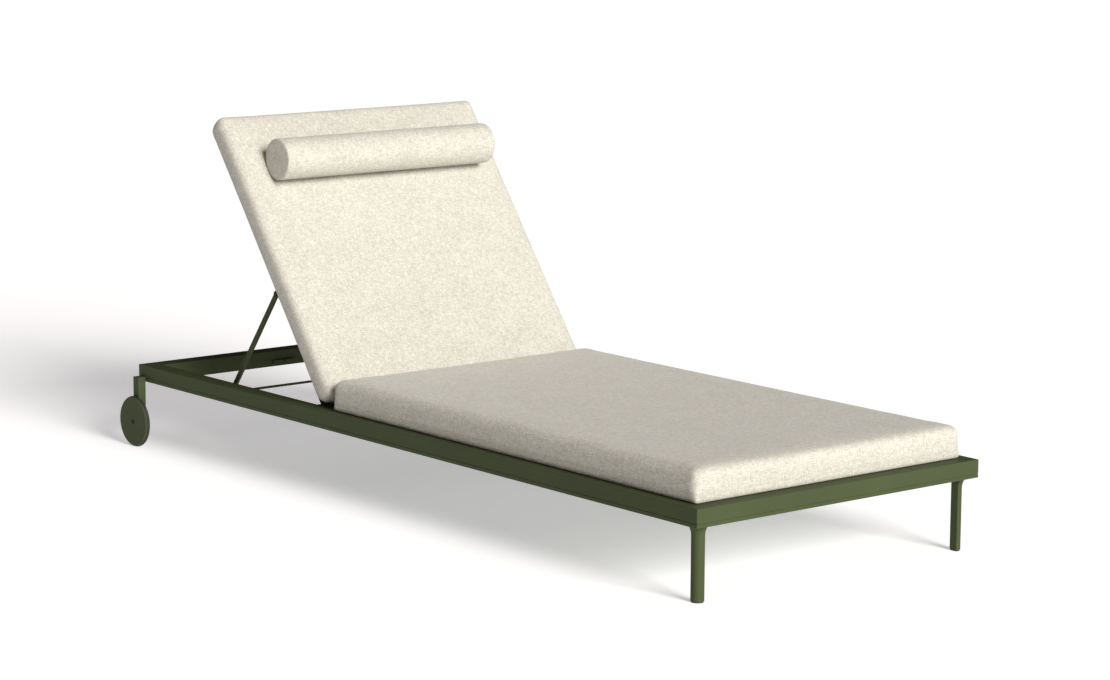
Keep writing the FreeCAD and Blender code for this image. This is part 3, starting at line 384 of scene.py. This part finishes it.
def block_mesh(name, low, high, base, seam_row):
    """A rounded block of quads with a row along the seam, and its own rounding at its base."""
    rows = [seam_row - SEAM_REACH, seam_row, seam_row + SEAM_REACH]
    grid = [lines(low.x, high.x, CELL), lines(low.y, high.y, CELL),
            lines(low.z, high.z, CELL, rows)]
    made = bmesh.new()
    cache = {}

    def corner(i, j, k):
        key = (i, j, k)
        if key not in cache:
            cache[key] = made.verts.new((grid[0][i], grid[1][j], grid[2][k]))
        return cache[key]

    last = [len(axis) - 1 for axis in grid]
    for fixed in range(3):
        first, second = (axis for axis in range(3) if axis != fixed)
        for end in (0, last[fixed]):
            for i in range(last[first]):
                for j in range(last[second]):
                    ring = []
                    for step_i, step_j in ((0, 0), (1, 0), (1, 1), (0, 1)):
                        index = [0, 0, 0]
                        index[fixed] = end
                        index[first] = i + step_i
                        index[second] = j + step_j
                        ring.append(corner(*index))
                    made.faces.new(ring)
    middle = (low.z + high.z) / 2
    for vert in made.verts:
        below = max(0.0, (middle - vert.co.z) / (middle - low.z))
        across = EDGE_ROUND + below * (base[0] - EDGE_ROUND)
        radii = (across, across, base[1] if below else EDGE_ROUND)
        core = Vector([min(max(vert.co[axis], low[axis] + radii[axis]), high[axis] - radii[axis])
                       for axis in range(3)])
        out = Vector([(vert.co[axis] - core[axis]) / radii[axis] for axis in range(3)])
        if out.length > 0:
            out.normalize()
            vert.co = core + Vector([out[axis] * radii[axis] for axis in range(3)])
    bmesh.ops.recalc_face_normals(made, faces=made.faces)
    mesh = bpy.data.meshes.new(name)
    made.to_mesh(mesh)
    made.free()
    return mesh


def points_of(mesh):
    points = np.zeros(len(mesh.vertices) * 3)
    mesh.vertices.foreach_get("co", points)
    return points.reshape(-1, 3)


def put_points(mesh, points):
    mesh.vertices.foreach_set("co", points.ravel())
    mesh.update()


def new_piece(name, mesh):
    piece = bpy.data.objects.new(name, mesh)
    bpy.context.scene.collection.objects.link(piece)
    return piece


def swell(piece, cap):
    """Blow a cover up by cloth simulation, with every point kept within cap of its place."""
    start = points_of(piece.data)
    modifier = piece.modifiers.new("swell", "CLOTH")
    settings = modifier.settings
    settings.use_pressure = True
    settings.uniform_pressure_force = PRESSURE
    settings.effector_weights.gravity = 0
    for name, value in SIM_CLOTH.items():
        setattr(settings, name, value)
    modifier.collision_settings.use_collision = False
    modifier.collision_settings.use_self_collision = False
    scene = bpy.context.scene
    for number in range(1, SIM_FRAMES + 1):
        scene.frame_set(number)
    evaluated = piece.evaluated_get(bpy.context.evaluated_depsgraph_get())
    swollen = points_of(evaluated.data)
    piece.modifiers.remove(modifier)
    scene.frame_set(1)
    moved = swollen - start
    length = np.linalg.norm(moved, axis=1, keepdims=True)
    moved *= cap * np.tanh(length / cap) / np.maximum(length, 1e-9)
    put_points(piece.data, start + moved)


def fit(piece, low, high):
    """Scale a piece's points so that it fills a box."""
    points = points_of(piece.data)
    now_low, now_high = points.min(0), points.max(0)
    share = (points - now_low) / (now_high - now_low)
    put_points(piece.data, np.array(low) + share * (np.array(high) - np.array(low)))


def press_flat(piece, level):
    """Flatten the underside of a cushion on what it lies on."""
    points = points_of(piece.data)
    points[:, 2] = np.maximum(points[:, 2], level)
    put_points(piece.data, points)


def subdivide(piece):
    modifier = piece.modifiers.new("smooth", "SUBSURF")
    modifier.levels = 1
    modifier.render_levels = 1
    bpy.context.view_layer.update()
    evaluated = piece.evaluated_get(bpy.context.evaluated_depsgraph_get())
    mesh = bpy.data.meshes.new_from_object(evaluated)
    piece.modifiers.clear()
    piece.data = mesh
    mesh.shade_smooth()


def sink_seam(piece, low, high, seam_z):
    """Press the seam's line into the cushion's sides."""
    points = points_of(piece.data)
    middle = (np.array(low) + np.array(high)) / 2
    near = np.clip(1 - np.abs(points[:, 2] - seam_z) / SEAM_REACH, 0, 1)
    inset = np.minimum(points - np.array(low), np.array(high) - points)
    depth = SEAM_DEPTH * near ** 1.5
    for axis in (0, 1):
        side = np.clip(1 - inset[:, axis] / (EDGE_ROUND * 0.8), 0, 1) > 0
        points[side, axis] -= (np.sign(points[side, axis] - middle[axis]) * depth[side])
    put_points(piece.data, points)


def loop_around(low, high, level, step):
    """Evenly spaced points round a rounded rectangle at one level."""
    radius = EDGE_ROUND
    points = []
    corners = [(high.x - radius, high.y - radius, 0), (low.x + radius, high.y - radius, 90),
               (low.x + radius, low.y + radius, 180), (high.x - radius, low.y + radius, 270)]
    for number, (x, y, start) in enumerate(corners):
        for part in range(CORNER_STEPS + 1):
            angle = math.radians(start + part * 90 / CORNER_STEPS)
            points.append(Vector((x + radius * math.cos(angle), y + radius * math.sin(angle),
                                  level)))
    points.append(points[0])
    spaced = []
    carry = 0.0
    for start, end in zip(points, points[1:]):
        long = (end - start).length
        while carry < long:
            spaced.append((start.lerp(end, carry / long), (end - start).normalized()))
            carry += step
        carry -= long
    return spaced


def stitches(name, cushion, spots):
    """Short thread ends that lie on a cushion at (place, direction) spots."""
    tree = BVHTree.FromObject(cushion, bpy.context.evaluated_depsgraph_get())
    made = bmesh.new()
    for place, direction in spots:
        found, normal, _, _ = tree.find_nearest(place)
        across = normal.cross(direction).normalized()
        rings = []
        for share, size in STITCH_PROFILE:
            arch = (0.25 - share * share) * STITCH_RADIUS * STITCH_ARCH
            centre = found + direction * share * STITCH_LONG + normal * arch
            angles = [math.tau * step / STITCH_SIDES for step in range(STITCH_SIDES)]
            rings.append([made.verts.new(
                centre + (across * math.cos(angle)
                          + normal * math.sin(angle)) * STITCH_RADIUS * size)
                for angle in angles])
        for before, after in zip(rings, rings[1:]):
            for step in range(STITCH_SIDES):
                other = (step + 1) % STITCH_SIDES
                made.faces.new((before[step], before[other], after[other], after[step]))
        made.faces.new(rings[0][::-1])
        made.faces.new(rings[-1])
    bmesh.ops.recalc_face_normals(made, faces=made.faces)
    mesh = bpy.data.meshes.new(name)
    made.to_mesh(mesh)
    made.free()
    mesh.shade_smooth()
    mesh.materials.append(STITCH_THREAD)
    return new_piece(name, mesh)


def turn_back(*pieces):
    """Turn pieces made on the flat back up to the back's rest angle."""
    for piece in pieces:
        piece.data.transform(BACK_TURN)
        piece.data.update()


def flat_box(node):
    """The box of a node of the reclined back, as if the back lay flat."""
    undo = BACK_TURN.inverted()
    points = [undo @ vert.co for vert in frame["nodes"][node].data.vertices]
    low = Vector([min(point[axis] for point in points) for axis in range(3)])
    high = Vector([max(point[axis] for point in points) for axis in range(3)])
    return low, high


def make_cushion(name, low, high, material, base, sag):
    """One boxed cushion: a swollen cover that fills its box, with a seam and stitches round it."""
    slack = Vector((SWELL, SWELL, SWELL)) * 0.5
    seam_z = low.z + SEAM_RISE
    tall = high.z - low.z
    share = (SEAM_RISE + sag) / (tall + sag)
    mesh = block_mesh(name, low + slack, high - slack, base,
                      low.z + slack.z + share * (tall - SWELL))
    cushion = new_piece(name, mesh)
    swell(cushion, SWELL)
    fit(cushion, low - Vector((0, 0, sag)), high)
    press_flat(cushion, low.z)
    subdivide(cushion)
    sink_seam(cushion, low, high, seam_z)
    cushion.data.materials.append(material)
    thread = stitches(f"{name}_stitches", cushion, loop_around(low, high, seam_z, STITCH_PITCH))
    return cushion, thread


def make_seat():
    low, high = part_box("seat_cushion")
    cushion, thread = make_cushion("seat_pad", low, high, MATERIALS["cushion_cloth"],
                                   SEAT_BASE, SEAT_SAG)
    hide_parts("seat_cushion")
    for piece in (cushion, thread):
        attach(piece, "base")


def make_back():
    low, high = flat_box("back_cushion")
    cushion, thread = make_cushion("back_pad", low, high, BACK_CLOTH, BACK_BASE, BACK_SAG)
    turn_back(cushion, thread)
    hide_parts("back_cushion")
    for piece in (cushion, thread):
        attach(piece, "backrest")


def make_bolster():
    """A round roll with flat sewn ends, swollen like the cushions."""
    low, high = flat_box("head_bolster")
    middle = (low + high) / 2
    radius = (high.x - low.x) / 2
    made = bmesh.new()
    steps = lines(low.y, high.y, CELL)
    rings = []

    def ring(y, size):
        return [made.verts.new((middle.x + size * math.cos(math.tau * step / BOLSTER_SIDES), y,
                                middle.z + size * math.sin(math.tau * step / BOLSTER_SIDES)))
                for step in range(BOLSTER_SIDES)]

    for share in BOLSTER_ENDS:
        rings.append(ring(low.y, radius * share))
    for number, y in enumerate(steps):
        size = radius if 0 < number < len(steps) - 1 else radius * BOLSTER_SHOULDER
        rings.append(ring(y, size))
    for share in reversed(BOLSTER_ENDS):
        rings.append(ring(high.y, radius * share))
    for before, after in zip(rings, rings[1:]):
        for step in range(BOLSTER_SIDES):
            other = (step + 1) % BOLSTER_SIDES
            made.faces.new((before[step], after[step], after[other], before[other]))
    for final, y in ((rings[0], low.y), (rings[-1], high.y)):
        centre = made.verts.new((middle.x, y, middle.z))
        for step in range(BOLSTER_SIDES):
            made.faces.new((centre, final[step], final[(step + 1) % BOLSTER_SIDES]))
    bmesh.ops.recalc_face_normals(made, faces=made.faces)
    mesh = bpy.data.meshes.new("bolster_roll")
    made.to_mesh(mesh)
    made.free()
    roll = new_piece("bolster_roll", mesh)
    swell(roll, BOLSTER_SWELL)
    fit(roll, low, high)
    subdivide(roll)
    roll.data.materials.append(MATERIALS["bolster_cloth"])
    spots = []
    for y, inward in ((low.y, 1), (high.y, -1)):
        count = round(math.tau * radius / STITCH_PITCH)
        for step in range(count):
            angle = math.tau * step / count
            place = Vector((middle.x + radius * math.cos(angle), y + inward * STITCH_INSET,
                            middle.z + radius * math.sin(angle)))
            spots.append((place, Vector((-math.sin(angle), 0, math.cos(angle)))))
    thread = stitches("bolster_stitches", roll, spots)
    turn_back(roll, thread)
    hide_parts("head_bolster")
    for piece in (roll, thread):
        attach(piece, "bolster")


# ---- floor, light and camera ---------------------------------------------------------------

def make_floor():
    """A wide pale floor, a little self-lit so that it stays nearly white."""
    mesh = bpy.data.meshes.new("floor")
    made = bmesh.new()
    bmesh.ops.create_circle(made, cap_ends=True, segments=FLOOR_SIDES, radius=FLOOR_RADIUS)
    made.to_mesh(mesh)
    made.free()
    floor = new_piece("floor", mesh)
    shader = Shader("pale_floor", Roughness=0.9)
    shader.bsdf.inputs["Base Color"].default_value = FLOOR_GREY
    shader.bsdf.inputs["Specular IOR Level"].default_value = 0.0
    shader.bsdf.inputs["Emission Color"].default_value = GLOW_COLOUR
    shader.bsdf.inputs["Emission Strength"].default_value = GLOW
    mesh.materials.append(shader.material)


def make_light():
    """A wide, low key light from the foot end, and a sky that is brightest overhead."""
    sun = bpy.data.lights.new("key", "SUN")
    sun.energy = SUN_ENERGY
    sun.angle = SUN_SPREAD
    sun.color = SUN_COLOUR
    key = bpy.data.objects.new("key", sun)
    bpy.context.scene.collection.objects.link(key)
    towards = Vector((math.cos(SUN_RISE) * math.cos(SUN_SWING),
                      -math.cos(SUN_RISE) * math.sin(SUN_SWING), math.sin(SUN_RISE)))
    key.rotation_mode = "QUATERNION"
    key.rotation_quaternion = towards.to_track_quat("Z", "Y")
    world = bpy.data.worlds.new("sky")
    world.use_nodes = True
    tree = world.node_tree
    coords = tree.nodes.new("ShaderNodeTexCoord")
    parts = tree.nodes.new("ShaderNodeSeparateXYZ")
    tree.links.new(coords.outputs["Generated"], parts.inputs[0])
    lobe = tree.nodes.new("ShaderNodeVectorMath")
    lobe.operation = "DOT_PRODUCT"
    tree.links.new(coords.outputs["Generated"], lobe.inputs[0])
    lobe.inputs[1].default_value = (math.cos(SKY_TILT), 0, math.sin(SKY_TILT))
    strength = SKY_BASE
    for source, gain in ((parts.outputs[2], SKY_ZENITH), (lobe.outputs["Value"], SKY_FOOT)):
        kept = tree.nodes.new("ShaderNodeMath")
        kept.operation = "MAXIMUM"
        tree.links.new(source, kept.inputs[0])
        kept.inputs[1].default_value = 0.0
        added = tree.nodes.new("ShaderNodeMath")
        added.operation = "MULTIPLY_ADD"
        tree.links.new(kept.outputs[0], added.inputs[0])
        added.inputs[1].default_value = gain
        if isinstance(strength, float):
            added.inputs[2].default_value = strength
        else:
            tree.links.new(strength, added.inputs[2])
        strength = added.outputs[0]
    tree.links.new(strength, tree.nodes["Background"].inputs["Strength"])
    tree.nodes["Background"].inputs["Color"].default_value = SKY_COLOUR
    bpy.context.scene.world = world
    bpy.context.scene.view_settings.view_transform = "Standard"


def make_camera():
    """A long lens from the right of the foot end, a little above the back."""
    lens = bpy.data.cameras.new("camera")
    lens.lens = LENS
    lens.sensor_width = SENSOR
    lens.clip_end = FAR
    camera = bpy.data.objects.new("camera", lens)
    bpy.context.scene.collection.objects.link(camera)
    yaw, pitch, roll = (math.radians(angle) for angle in CAMERA_TURN)
    forward = Vector((math.cos(yaw) * math.cos(pitch), math.sin(yaw) * math.cos(pitch),
                      -math.sin(pitch)))
    camera.location = CAMERA_PLACE
    camera.rotation_mode = "QUATERNION"
    camera.rotation_quaternion = (forward.to_track_quat("-Z", "Y")
                                  @ Quaternion((0, 0, 1), roll))
    bpy.context.scene.camera = camera


make_camera()
make_light()
make_floor()
dress_frame()
make_seat()
make_back()
make_bolster()
